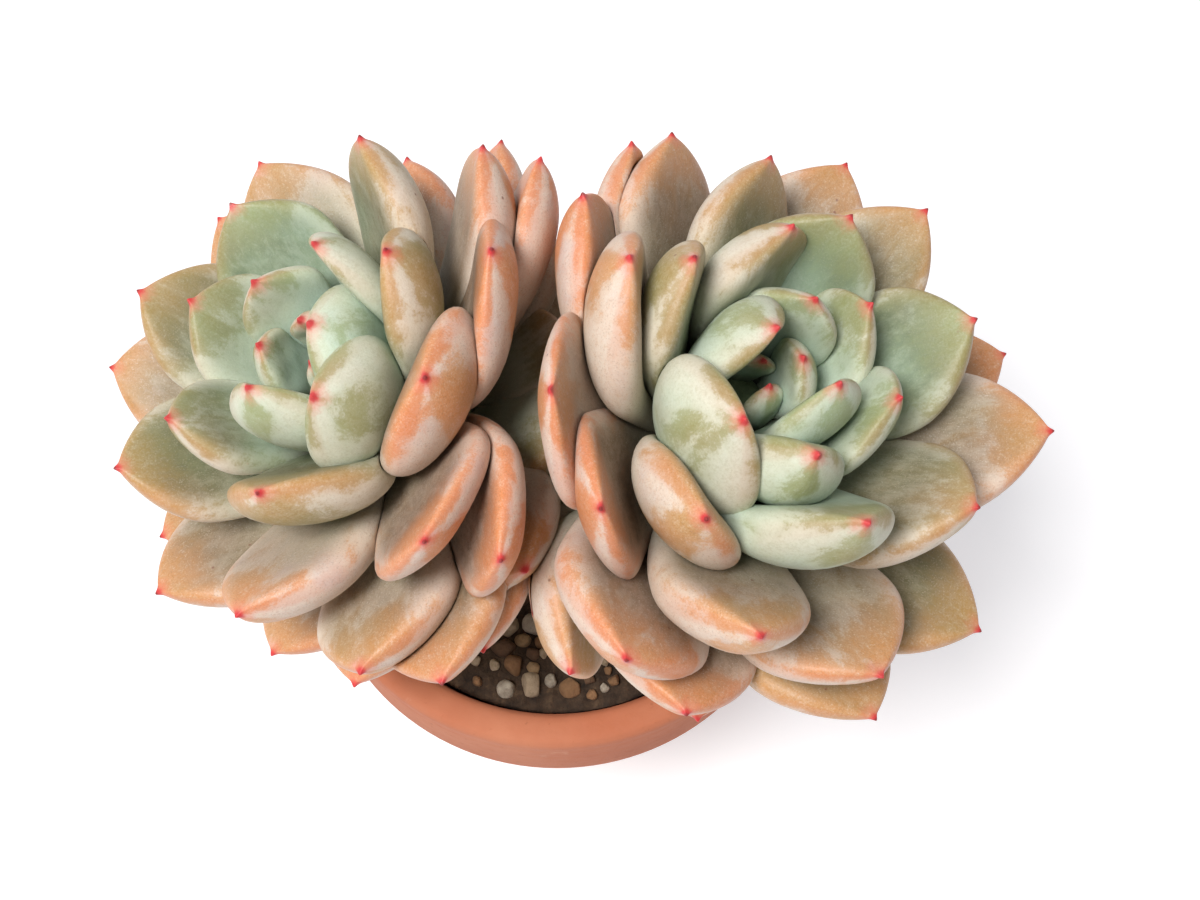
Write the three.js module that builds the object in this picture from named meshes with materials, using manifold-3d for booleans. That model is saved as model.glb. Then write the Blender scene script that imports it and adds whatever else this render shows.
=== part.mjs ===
// A potted echeveria with two heads, built in millimetres with +Z up.
// The origin is the middle of the pot's underside. The plant's wide side runs along X,
// and the side that is turned to a viewer who looks down on it is -Y.
import * as THREE from 'three';
import { mergeVertices } from 'three/addons/utils/BufferGeometryUtils.js';
import Module from 'manifold-3d';

const wasm = await Module();
wasm.setup();

// Pot, from the underside up
const POT_HEIGHT = 60;
const POT_FOOT_RADIUS = 23;
const POT_SHOULDER_RADIUS = 31;
const POT_RIM_RADIUS = 35;
const POT_RIM_HEIGHT = 14;
const POT_MOUTH_RADIUS = 30.5;
const POT_WALL = 3;
const POT_FLOOR = 5;
const POT_EDGE = 0.8;
const POT_SIDES = 36;
const DRAIN_COUNT = 3;
const DRAIN_RADIUS = 3;
const DRAIN_PLACE = 12;

// Soil, which fills the pot to just under its rim
const SOIL_LEVEL = 56;
const SOIL_CROWN = 1.5;
const SOIL_SIDES = 36;
const STEM_HOLE_FLOOR = 36;
const STEM_HOLE_RADIUS = 7;

// Stem, one trunk that forks to the two heads
const TRUNK_FOOT = 36.3;
const TRUNK_RADIUS = 6.6;
const FORK_HEIGHT = 65;
const BRANCH_RADIUS = 5.4;
const BRANCH_START_RADIUS = 4.4;
const BRANCH_OVERLAP = 5;
const STEM_SIDES = 12;
const SEAT_GAP = 0.3;

// Leaves start inside a core along each head's axis, at depths below its growing point
const FIRST_LEAF_DEPTH = 8;
const CORE_TOP_DEPTH = 6.5;
const CORE_COVER = 0.8;
const CORE_SHARES = [0, 0.15, 0.4, 0.7, 1, 1.15];
const CORE_TAIL = 5;
const CORE_FOOT_RADIUS = 6.5;
const CORE_SIDES = 10;
const FIRST_ROOT_RADIUS = 2.5;
const ROOT_RADIUS_GAIN = 5;
const GOLDEN_ANGLE = 137.508;

// Each leaf: turn about the head's axis and lean away from it to the tip, in degrees,
// then length, width, thickness, bow as a share of the length, and roll in degrees.
// They run from the growing point outward, as each leaf stands on this plant.
const LEFT_LEAVES = [
  [292, -3, 8, 5, 2.4, 0.10, 0],
  [90, -2, 10, 7, 3.5, 0.10, 0],
  [339.5, 12, 17, 14, 7, 0.18, -18],
  [178, 6, 12, 8, 4.5, 0.15, 0],
  [119.5, 13.5, 16, 11.5, 5, 0.15, -5],
  [305.5, 30, 22, 15.5, 8.5, 0.17, -30],
  [273, 15, 21, 13.5, 7, 0.18, 20],
  [36, 15, 22, 14, 5.5, 0.20, -4],
  [153.5, 30.5, 20, 15.5, 6, 0.15, -12],
  [12, 31, 24, 17, 7.5, 0.16, 7],
  [219, 28, 23, 13.5, 6.5, 0.16, 13],
  [115, 40.5, 24, 16.5, 6.5, 0.14, -6],
  [331, 44, 27, 20, 9, 0.10, -4],
  [275, 37, 27, 18.5, 7.5, 0.16, 9],
  [155, 43, 27, 17, 7, 0.12, -8],
  [63.5, 40.5, 28, 18, 7.5, 0.14, 26],
  [210, 45, 28, 17, 7.5, 0.14, 16],
  [304, 58.5, 32, 19.5, 6, 0.14, -10],
  [7, 47, 29, 21.5, 6.6, 0.16, 8],
  [257.5, 59, 30, 19, 8.5, 0.14, -8],
  [171, 58, 30, 18, 7.5, 0.10, 8],
  [111, 59, 30, 18, 7.5, 0.10, 0],
  [41, 53.5, 30, 18, 8, 0.14, 26],
  [310, 67, 33, 19, 6.5, 0.14, -33],
  [223.5, 68, 30, 18, 8, 0.10, 0],
  [129, 70, 32, 18, 7.5, 0.10, 0],
  [206.5, 72, 27, 19, 7.5, 0.10, 0],
  [275, 72, 31, 19, 8.5, 0.14, -2],
  [36.5, 61, 31, 17.5, 7.5, 0.12, 34],
  [286, 80, 32, 18, 8, 0.10, 0],
  [65, 80, 30, 17, 7.5, 0.10, 30],
  [84.5, 71.5, 27, 17, 7.5, 0.10, 24],
];
const RIGHT_LEAVES = [
  [91, -8, 8, 5, 2.4, 0.10, 0],
  [303.5, -12.5, 8, 6, 3, 0.10, 0],
  [11, -2, 13, 9, 4.5, 0.15, 0],
  [173.5, -1, 19, 14.5, 6.5, 0.24, 28],
  [299, 8, 21, 13, 5.5, 0.20, -4],
  [65, 10, 18, 12, 5, 0.15, 0],
  [268.5, 26, 25, 14, 9, 0.12, 1],
  [235, 25.5, 26, 18.5, 9, 0.20, 28],
  [36, 26.5, 20, 14, 5.5, 0.18, 25],
  [90, 26, 23, 19, 8, 0.20, -42],
  [336.5, 21, 23, 16, 5.5, 0.15, 0],
  [154.5, 22.5, 26, 17, 7, 0.16, -9],
  [66, 35, 26, 17, 7, 0.16, 0],
  [281, 33.5, 32, 18, 9, 0.18, -2],
  [242.5, 41.5, 30, 16.5, 8.5, 0.14, 20],
  [166, 32, 30, 20.5, 8.4, 0.18, -9],
  [18, 41, 30, 18, 7, 0.12, 0],
  [88, 51.5, 29, 18, 8, 0.12, -38],
  [325, 44, 31, 20, 8.5, 0.15, 0],
  [200, 45, 34, 22, 5.2, 0.17, 19],
  [224.5, 48, 33, 19, 5.8, 0.18, 27],
  [261, 49, 37, 18, 9, 0.16, -6],
  [49, 49, 34, 17, 7.5, 0.12, 0],
  [143.5, 46.5, 31, 20, 8, 0.15, -28],
  [355.5, 53.5, 37, 20, 8, 0.10, 0],
  [107, 58, 32, 21, 8.5, 0.12, -30],
  [292.5, 60, 34, 21, 8.5, 0.14, -8],
  [244.5, 59.5, 37, 21, 8.5, 0.14, 7],
  [116, 57, 32, 17, 8, 0.12, -34],
  [66, 64, 36, 19, 7.5, 0.10, 0],
  [323.5, 71.5, 35, 20, 8, 0.10, 0],
  [297.5, 74, 34, 20, 8, 0.12, 0],
  [260.5, 68.5, 33, 20, 8, 0.12, 0],
  [20, 70, 38, 19, 8, 0.10, 0],
  [242, 80, 29, 18, 8.5, 0.30, 45],
];

// Low leaves under those rings, by the golden angle, left out on the side of the other head
const LOW_LEAF_COUNT = 14;
const LOW_LEAF_LEAN = 83;
const LOW_LEAF_LEAN_GAIN = 0.7;
const LOW_LEAF_SIZE = [26, 17, 7, 0.10, 0];
const LOW_LEAF_CLEAR_ANGLE = 62;

// Leaves that fill the valley between the heads. Their turn is from the way to the other head.
const VALLEY_LEAVES = [
  [-52, 76, 24, 17, 7.5, 0.10, 0],
  [-17, 80, 16, 14, 6.5, 0.10, 0],
  [17, 80, 16, 14, 6.5, 0.10, 0],
  [52, 76, 24, 17, 7.5, 0.10, 0],
];

// Heads: the growing point, the tilt of the axis from upright and its compass turn,
// the depth that the leaf bases take up, and the way to the other head
const HEADS = {
  left: {
    top: new THREE.Vector3(-28, 2, 102), tilt: 27, turn: 180, span: 14,
    leaves: LEFT_LEAVES, lowStart: 100, otherHead: 0,
  },
  right: {
    top: new THREE.Vector3(25, -1.5, 102), tilt: 20, turn: 0, span: 16,
    leaves: RIGHT_LEAVES, lowStart: 30, otherHead: 180,
  },
};

// The two heads press on each other: the right one is cut clear of the left one's leaves
const HEAD_CLEARANCE = 0.35;

// Slivers smaller than this, left where leaves cross, are merged away
const SLIVER = 0.02;

// Leaf mesh: stations along a leaf, and points round it
const STATIONS = [0, 0.35, 0.66, 0.90];
const LEAF_SIDES = 8;
const WIDEST = 0.64;
const ROOT_WIDTH = 0.40;
const THICKEST = 0.60;
const ROOT_THICKNESS = 0.62;
const FLAT_SIDE = 0.46;
const HOLLOW = 0.16;
const KEEL = 0.10;
const KEEL_WIDTH = 0.45;
const TIP_ROUNDNESS = 0.86;
const MARGIN_SHARPNESS = 0.95;

const degrees = THREE.MathUtils.degToRad;

// A closed mesh, its shared vertices merged, as a solid
function toSolid(geometry) {
  const bare = geometry.clone();
  bare.deleteAttribute('normal');
  bare.deleteAttribute('uv');
  const merged = mergeVertices(bare, 1e-4);
  const vertProperties = Float32Array.from(merged.attributes.position.array);
  const triVerts = Uint32Array.from(merged.index.array);
  return new wasm.Manifold(new wasm.Mesh({ numProp: 3, vertProperties, triVerts }));
}

function toGeometry(solid) {
  const mesh = solid.getMesh();
  const geometry = new THREE.BufferGeometry();
  geometry.setAttribute('position', new THREE.BufferAttribute(mesh.vertProperties, 3));
  geometry.setIndex(new THREE.BufferAttribute(mesh.triVerts, 1));
  geometry.computeVertexNormals();
  return geometry;
}

function addNode(group, name, solid, color, roughness) {
  const material = new THREE.MeshStandardMaterial({ color, roughness, metalness: 0 });
  const mesh = new THREE.Mesh(toGeometry(solid), material);
  mesh.name = name;
  group.add(mesh);
}

// A lathed solid about the Z axis, from radius and height pairs
function latheSolid(profile, sides) {
  const points = profile.map(([radius, height]) => new THREE.Vector2(radius, height));
  const geometry = new THREE.LatheGeometry(points, sides);
  geometry.rotateX(Math.PI / 2);
  return toSolid(geometry);
}

// A closed mesh through rings of points with the same count, with an end point at each end
function ringSolid(rings, startPoint, endPoint) {
  const sides = rings[0].length;
  const points = [startPoint, ...rings.flat(), endPoint];
  const last = points.length - 1;
  const faces = [];
  for (let side = 0; side < sides; side += 1) {
    const next = (side + 1) % sides;
    faces.push(0, 1 + next, 1 + side);
    for (let ring = 0; ring < rings.length - 1; ring += 1) {
      const low = 1 + ring * sides;
      const high = low + sides;
      faces.push(low + side, low + next, high + next);
      faces.push(low + side, high + next, high + side);
    }
    const top = 1 + (rings.length - 1) * sides;
    faces.push(top + side, top + next, last);
  }
  const geometry = new THREE.BufferGeometry();
  geometry.setAttribute('position', new THREE.Float32BufferAttribute(points.flatMap((p) => p.toArray()), 3));
  geometry.setIndex(faces);
  return toSolid(geometry);
}

// The head's axis and two directions across it, the first one at turn 0
function headFrame(head) {
  const tilt = degrees(head.tilt);
  const turn = degrees(head.turn);
  const axis = new THREE.Vector3(Math.sin(tilt) * Math.cos(turn), Math.sin(tilt) * Math.sin(turn), Math.cos(tilt));
  const across = new THREE.Vector3(0, 1, 0).cross(axis).normalize();
  const along = new THREE.Vector3().crossVectors(axis, across);
  return { axis, across, along };
}

function outward(frame, turn) {
  return frame.across.clone().multiplyScalar(Math.cos(degrees(turn)))
    .addScaledVector(frame.along, Math.sin(degrees(turn)));
}

// How far from the axis leaves start: share 0 is the innermost leaf and share 1 the outermost
function rootRadius(share) {
  return FIRST_ROOT_RADIUS + ROOT_RADIUS_GAIN * share ** 0.7;
}

function rootPlace(head, frame, share, out) {
  const depth = FIRST_LEAF_DEPTH + head.span * share;
  return head.top.clone().addScaledVector(frame.axis, -depth).addScaledVector(out, rootRadius(share));
}

function halfWidthShare(u) {
  if (u < WIDEST) return ROOT_WIDTH + (1 - ROOT_WIDTH) * Math.sin(Math.PI / 2 * u / WIDEST) ** 1.25;
  return (1 - ((u - WIDEST) / (1 - WIDEST)) ** 2) ** TIP_ROUNDNESS;
}

function thicknessShare(u) {
  if (u < THICKEST) return ROOT_THICKNESS + (1 - ROOT_THICKNESS) * Math.sin(Math.PI / 2 * u / THICKEST);
  return (1 - ((u - THICKEST) / (1 - THICKEST)) ** 2.6) ** 0.62;
}

// One leaf, thick and spoon-shaped, with a flat inner side, a rounded back and a short keel
function leafSolid(root, frame, out, leaf, grow) {
  const [, lean, length, width, thick, bow, roll] = leaf;
  const along = frame.axis.clone().multiplyScalar(Math.cos(degrees(lean)))
    .addScaledVector(out, Math.sin(degrees(lean)));
  const side = new THREE.Vector3().crossVectors(frame.axis, out);
  const back = new THREE.Vector3().crossVectors(side, along).normalize();
  const rolledSide = side.clone().multiplyScalar(Math.cos(degrees(roll)))
    .addScaledVector(back, Math.sin(degrees(roll)));
  const rolledBack = back.clone().multiplyScalar(Math.cos(degrees(roll)))
    .addScaledVector(side, -Math.sin(degrees(roll)));
  const middle = (u) => root.clone().addScaledVector(along, length * u)
    .addScaledVector(rolledBack, bow * length * 2 * u * (1 - u));
  const rings = STATIONS.map((u) => {
    const halfWidth = width / 2 * halfWidthShare(u) + grow;
    const depth = thick * thicknessShare(u);
    const ring = [];
    for (let k = 0; k < LEAF_SIDES; k += 1) {
      const angle = 2 * Math.PI * k / LEAF_SIDES;
      const across = Math.sign(Math.cos(angle)) * Math.abs(Math.cos(angle)) ** MARGIN_SHARPNESS;
      const rise = Math.sin(angle);
      const bulge = Math.abs(rise);
      const keel = KEEL / 2 * Math.exp(-((across / KEEL_WIDTH) ** 2)) * THREE.MathUtils.clamp((u - 0.55) / 0.35, 0, 1);
      const inner = -(depth * (FLAT_SIDE - HOLLOW * (1 - across ** 2)) + grow) * bulge;
      const outer = (depth * (1 - FLAT_SIDE) + grow) * bulge + depth * keel;
      const offset = rise > 0 ? inner : rise < 0 ? outer : 0;
      ring.push(middle(u).addScaledVector(rolledSide, across * halfWidth)
        .addScaledVector(rolledBack, Math.abs(rise) < 1e-9 ? 0 : offset));
    }
    return ring;
  });
  return ringSolid(rings, middle(0), middle(1).addScaledVector(along, grow));
}

// Low leaves, as turn and leaf rows, away from the other head
function lowLeaves(head) {
  const rows = [];
  for (let k = 0; k < LOW_LEAF_COUNT; k += 1) {
    const turn = (head.lowStart + k * GOLDEN_ANGLE) % 360;
    const off = Math.abs(((turn - head.otherHead + 540) % 360) - 180);
    if (off > LOW_LEAF_CLEAR_ANGLE) rows.push([turn, LOW_LEAF_LEAN + LOW_LEAF_LEAN_GAIN * k, ...LOW_LEAF_SIZE]);
  }
  return rows;
}

function headLeaves(head, grow) {
  const frame = headFrame(head);
  const upper = head.leaves.map((leaf, k) => {
    const out = outward(frame, leaf[0]);
    return leafSolid(rootPlace(head, frame, (k + 0.5) / head.leaves.length, out), frame, out, leaf, grow);
  });
  const valley = VALLEY_LEAVES.map(([turn, ...form]) => [head.otherHead + turn, ...form]);
  const lower = [...lowLeaves(head), ...valley].map((leaf) => {
    const out = outward(frame, leaf[0]);
    return leafSolid(rootPlace(head, frame, 1.15, out), frame, out, leaf, grow);
  });
  return [...upper, ...lower];
}

// A core along the head's axis, which holds the leaf roots together
function coreSolid(head) {
  const frame = headFrame(head);
  const foot = FIRST_LEAF_DEPTH + head.span + CORE_TAIL;
  const steps = CORE_SHARES.map((share) => [FIRST_LEAF_DEPTH + head.span * share, rootRadius(share) + CORE_COVER]);
  steps.push([foot, CORE_FOOT_RADIUS]);
  const rings = steps.map(([depth, radius]) => {
    const ring = [];
    for (let k = 0; k < CORE_SIDES; k += 1) {
      ring.push(head.top.clone().addScaledVector(frame.axis, -depth)
        .addScaledVector(outward(frame, 360 * k / CORE_SIDES), radius));
    }
    return ring.reverse();
  });
  const at = (depth) => head.top.clone().addScaledVector(frame.axis, -depth);
  return { solid: ringSolid(rings, at(CORE_TOP_DEPTH), at(foot)), foot: at(foot), axis: frame.axis };
}

// A tube through rings square to a curve, with the radius set along it
function tubeSolid(curve, steps, radiusAt) {
  const frames = curve.computeFrenetFrames(steps);
  const rings = [];
  for (let k = 0; k <= steps; k += 1) {
    const centre = curve.getPointAt(k / steps);
    const ring = [];
    for (let side = 0; side < STEM_SIDES; side += 1) {
      const angle = 2 * Math.PI * side / STEM_SIDES;
      ring.push(centre.clone().addScaledVector(frames.normals[k], Math.cos(angle) * radiusAt(k / steps))
        .addScaledVector(frames.binormals[k], Math.sin(angle) * radiusAt(k / steps)));
    }
    rings.push(ring);
  }
  return ringSolid(rings, curve.getPointAt(0), curve.getPointAt(1));
}

// The pot's bore is one straight taper from its mouth to its floor
function boreRadius(height) {
  const share = (height - POT_FLOOR) / (POT_HEIGHT - POT_FLOOR);
  return THREE.MathUtils.lerp(POT_FOOT_RADIUS - POT_WALL, POT_MOUTH_RADIUS, share);
}

function potSolid() {
  const rimFoot = POT_HEIGHT - POT_RIM_HEIGHT;
  let pot = latheSolid([
    [0, 0], [POT_FOOT_RADIUS - POT_EDGE, 0], [POT_FOOT_RADIUS, POT_EDGE],
    [POT_SHOULDER_RADIUS, rimFoot], [POT_RIM_RADIUS - POT_EDGE, rimFoot], [POT_RIM_RADIUS, rimFoot + POT_EDGE],
    [POT_RIM_RADIUS, POT_HEIGHT - POT_EDGE], [POT_RIM_RADIUS - POT_EDGE, POT_HEIGHT],
    [POT_MOUTH_RADIUS + POT_EDGE, POT_HEIGHT], [boreRadius(POT_HEIGHT - POT_EDGE), POT_HEIGHT - POT_EDGE],
    [boreRadius(POT_FLOOR), POT_FLOOR], [0, POT_FLOOR],
  ], POT_SIDES);
  for (let k = 0; k < DRAIN_COUNT; k += 1) {
    const drill = new THREE.CylinderGeometry(DRAIN_RADIUS, DRAIN_RADIUS, 3 * POT_FLOOR, 12);
    drill.rotateX(Math.PI / 2);
    const angle = 2 * Math.PI * k / DRAIN_COUNT + Math.PI / 2;
    drill.translate(DRAIN_PLACE * Math.cos(angle), DRAIN_PLACE * Math.sin(angle), 0);
    pot = pot.subtract(toSolid(drill));
  }
  return pot;
}

function soilSolid() {
  const foot = POT_FLOOR + SEAT_GAP;
  const gap = SEAT_GAP + 0.1;
  return latheSolid([
    [0, foot], [boreRadius(foot) - gap, foot], [boreRadius(SOIL_LEVEL) - gap, SOIL_LEVEL],
    [POT_MOUTH_RADIUS / 2, SOIL_LEVEL + SOIL_CROWN], [STEM_HOLE_RADIUS, SOIL_LEVEL + SOIL_CROWN],
    [STEM_HOLE_RADIUS, STEM_HOLE_FLOOR], [0, STEM_HOLE_FLOOR],
  ], SOIL_SIDES);
}

function stemSolid(seats) {
  const trunkCurve = new THREE.LineCurve3(new THREE.Vector3(0, 0, TRUNK_FOOT), new THREE.Vector3(0, 0, FORK_HEIGHT));
  let stem = tubeSolid(trunkCurve, 2, () => TRUNK_RADIUS);
  for (const { foot, axis } of seats) {
    const end = foot.clone().addScaledVector(axis, -SEAT_GAP);
    const start = new THREE.Vector3(0, 0, FORK_HEIGHT - BRANCH_OVERLAP);
    const reach = end.distanceTo(start) / 2.6;
    const curve = new THREE.CubicBezierCurve3(start, new THREE.Vector3(Math.sign(end.x) * 2, 0, FORK_HEIGHT),
      end.clone().addScaledVector(axis, -reach), end);
    const radiusAt = (u) => THREE.MathUtils.lerp(BRANCH_START_RADIUS, BRANCH_RADIUS, u);
    stem = stem.add(tubeSolid(curve, 8, radiusAt));
  }
  return stem;
}

// A solid without its slivers and without the sealed hollows that leaves close off between them
function tidySolid(solid) {
  const bodies = solid.simplify(SLIVER).decompose();
  return wasm.Manifold.union(bodies.filter((body) => body.volume() > 0));
}

const plant = new THREE.Group();
const leftCore = coreSolid(HEADS.left);
const rightCore = coreSolid(HEADS.right);
const leftHead = tidySolid(wasm.Manifold.union([leftCore.solid, ...headLeaves(HEADS.left, 0)]));
const leftRoom = wasm.Manifold.union([leftCore.solid, ...headLeaves(HEADS.left, HEAD_CLEARANCE)]);
const rightWhole = wasm.Manifold.union([rightCore.solid, ...headLeaves(HEADS.right, 0)]);
const rightHead = tidySolid(rightWhole.subtract(leftRoom));

addNode(plant, 'pot', potSolid(), 0xb5714d, 0.85);
addNode(plant, 'soil', soilSolid(), 0x5a4636, 0.95);
addNode(plant, 'stem', stemSolid([leftCore, rightCore]), 0x8a7355, 0.85);
addNode(plant, 'head_left', leftHead, 0xb9c3a6, 0.6);
addNode(plant, 'head_right', rightHead, 0xc7b296, 0.6);

export default plant;
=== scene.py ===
import math

import bpy
import numpy as np
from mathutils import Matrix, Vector


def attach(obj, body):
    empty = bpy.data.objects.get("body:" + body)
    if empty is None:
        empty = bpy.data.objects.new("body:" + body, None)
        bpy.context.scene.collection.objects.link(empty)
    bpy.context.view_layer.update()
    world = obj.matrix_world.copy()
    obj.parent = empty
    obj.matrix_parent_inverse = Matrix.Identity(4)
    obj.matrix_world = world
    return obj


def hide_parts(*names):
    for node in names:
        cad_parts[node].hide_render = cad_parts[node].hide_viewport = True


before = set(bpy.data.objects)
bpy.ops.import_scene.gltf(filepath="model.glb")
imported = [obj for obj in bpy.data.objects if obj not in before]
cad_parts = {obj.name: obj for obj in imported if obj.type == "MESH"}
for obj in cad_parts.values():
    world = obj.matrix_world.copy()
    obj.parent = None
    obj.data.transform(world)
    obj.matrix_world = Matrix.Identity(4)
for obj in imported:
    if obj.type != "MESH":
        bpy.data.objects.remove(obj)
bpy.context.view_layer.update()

# Sizes are in millimetres unless said otherwise, and MM turns them into Blender's metres
MM = 0.001

# Camera, at the photograph's angle
CAMERA_TARGET = (6.0, -4.0, 86.0)
CAMERA_ELEVATION = 66.0
CAMERA_DISTANCE = 185.2
CAMERA_LENS = 45.0
CAMERA_SENSOR_WIDTH = 36.0
CAMERA_CLIP_START = 10.0

# Studio, in metres and watts
LIGHT_TARGET = (0.0, 0.0, 0.09)
KEY_PLACE = (-0.24, -0.20, 0.80)
KEY_SIZE = 0.28
KEY_POWER = 6.4
KEY_COLOUR = (1.0, 0.985, 0.96)
FILL_PLACE = (-0.30, 0.60, 0.55)
FILL_SIZE = 0.5
FILL_POWER = 0.8
FILL_COLOUR = (0.97, 0.98, 1.0)
SKY_COLOUR = (0.96, 0.97, 1.0, 1)
SKY_STRENGTH = 0.30
FLOOR_HALF_SIZE = 4.0
FLOOR_DROP = 0.0002
FLOOR_GLOW = 0.65

# Pot
POT_HEIGHT = 60.0
POT_FOOT_RADIUS = 23.0
POT_SHOULDER_RADIUS = 31.0
POT_RIM_RADIUS = 35.0
POT_RIM_HEIGHT = 14.0
POT_MOUTH_RADIUS = 30.5
POT_WALL = 3.0
POT_FLOOR = 5.0
POT_SIDES = 128
CORNER_STEPS = 5
DRAIN_COUNT = 3
DRAIN_RADIUS = 3.0
DRAIN_PLACE = 12.0
DRAIN_SIDES = 32

# Soil
SOIL_LEVEL = 56.0
SOIL_CROWN = 1.5
SOIL_GAP = 0.35
SOIL_SIDES = 120
SOIL_RINGS = 46
SOIL_RIPPLE = 0.35
RIPPLE_SEED = 7

# Grit on the soil
STONE_COUNT = 330
STONE_TRIES = 20000
STONE_SHAPES = 7
STONE_FACETS = 9
STONE_SMALLEST = 0.7
STONE_LARGEST = 1.9
STONE_SPREAD = 27.6
STONE_FARTHEST = 28.6
STEM_CLEARANCE = 6.6
STONE_KINDS = [0.05, 0.25, 0.45, 0.6, 0.78, 0.98]

# Stem
TRUNK_FOOT = 50.0
TRUNK_RADIUS = 6.4
FORK_HEIGHT = 65.0
BRANCH_RADIUS = 5.2
BRANCH_START_RADIUS = 4.6
TUBE_SIDES = 40
BARK_VOXEL = 0.45

# Leaf form, as in the solids but for a slightly deeper hollow
FIRST_LEAF_DEPTH = 8.0
FIRST_ROOT_RADIUS = 2.5
ROOT_RADIUS_GAIN = 5.0
CORE_TAIL = 5.0
GOLDEN_ANGLE = 137.508
WIDEST = 0.64
ROOT_WIDTH = 0.40
THICKEST = 0.60
ROOT_THICKNESS = 0.62
FLAT_SIDE = 0.46
HOLLOW = 0.20
KEEL = 0.10
KEEL_WIDTH = 0.45
TIP_ROUNDNESS = 0.86
MARGIN_SHARPNESS = 0.95
LEAF_SIDES = 48
SWELL = 0.16
EDGE_WAVE = 0.25

# Pressing of crowded leaves: the gap they keep, and how gently they first and then last give way
PRESS_GAP = 0.06
FIRST_SOFTNESS = 0.30
LAST_SOFTNESS = 0.06

# Sharp point at each leaf's tip
POINT_LENGTH = 0.5
POINT_RADIUS = 0.40

# Each leaf: turn about the head's axis and lean away from it to the tip, in degrees,
# then length, width, thickness, bow as a share of the length and roll in degrees,
# and last how warm its colour is and how much of its powder is rubbed off, from 0 to 1.
# The rubbed share is also set higher on leaves that lie in shade, as painted shade: it bares
# their darker flesh and darkens their hollow.
LEFT_LEAVES = [
    (292, -3, 8, 5, 2.4, 0.10, 0, 0.10, 0.00),
    (90, -2, 10, 7, 3.5, 0.10, 0, 0.18, 0.00),
    (339.5, 12, 17, 14, 7, 0.18, -18, 0.05, 0.00),
    (178, 6, 12, 8, 4.5, 0.15, 0, 0.15, 0.10),
    (119.5, 13.5, 16, 11.5, 5, 0.15, -5, 0.12, 0.10),
    (305.5, 30, 22, 15.5, 8.5, 0.17, -30, 0.15, 0.25),
    (273, 15, 21, 13.5, 7, 0.18, 20, 0.12, 0.00),
    (36, 15, 22, 14, 5.5, 0.20, -4, 0.15, 0.15),
    (153.5, 30.5, 20, 15.5, 6, 0.15, -12, 0.20, 0.30),
    (12, 31, 24, 17, 7.5, 0.16, 7, 0.34, 0.70),
    (219, 28, 23, 13.5, 6.5, 0.16, 13, 0.25, 0.50),
    (115, 40.5, 24, 16.5, 6.5, 0.14, -6, 0.18, 0.65),
    (331, 44, 27, 20, 9, 0.10, -4, 0.74, 0.60),
    (275, 37, 27, 18.5, 7.5, 0.16, 9, 0.40, 0.90),
    (155, 43, 27, 17, 7, 0.12, -8, 0.36, 0.60),
    (63.5, 40.5, 28, 18, 7.5, 0.14, 26, 0.42, 0.60),
    (210, 45, 28, 17, 7.5, 0.14, 16, 0.42, 0.75),
    (304, 58.5, 32, 19.5, 6, 0.14, -10, 0.88, 0.62),
    (7, 47, 29, 21.5, 6.6, 0.16, 8, 0.86, 0.70),
    (257.5, 59, 30, 19, 8.5, 0.14, -8, 0.70, 0.40),
    (171, 58, 30, 18, 7.5, 0.10, 8, 0.62, 0.55),
    (111, 59, 30, 18, 7.5, 0.10, 0, 0.52, 0.40),
    (41, 53.5, 30, 18, 8, 0.14, 26, 0.78, 0.55),
    (310, 67, 33, 19, 6.5, 0.14, -33, 0.92, 0.75),
    (223.5, 68, 30, 18, 8, 0.10, 0, 0.62, 0.60),
    (129, 70, 32, 18, 7.5, 0.10, 0, 0.62, 0.40),
    (206.5, 72, 27, 19, 7.5, 0.10, 0, 0.66, 0.65),
    (275, 72, 31, 19, 8.5, 0.14, -2, 0.64, 0.50),
    (36.5, 61, 31, 17.5, 7.5, 0.12, 34, 0.90, 0.30),
    (286, 80, 32, 18, 8, 0.10, 0, 0.66, 0.75),
    (65, 80, 30, 17, 7.5, 0.10, 30, 0.88, 0.60),
    (84.5, 71.5, 27, 17, 7.5, 0.10, 24, 0.88, 0.60),
]
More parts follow.
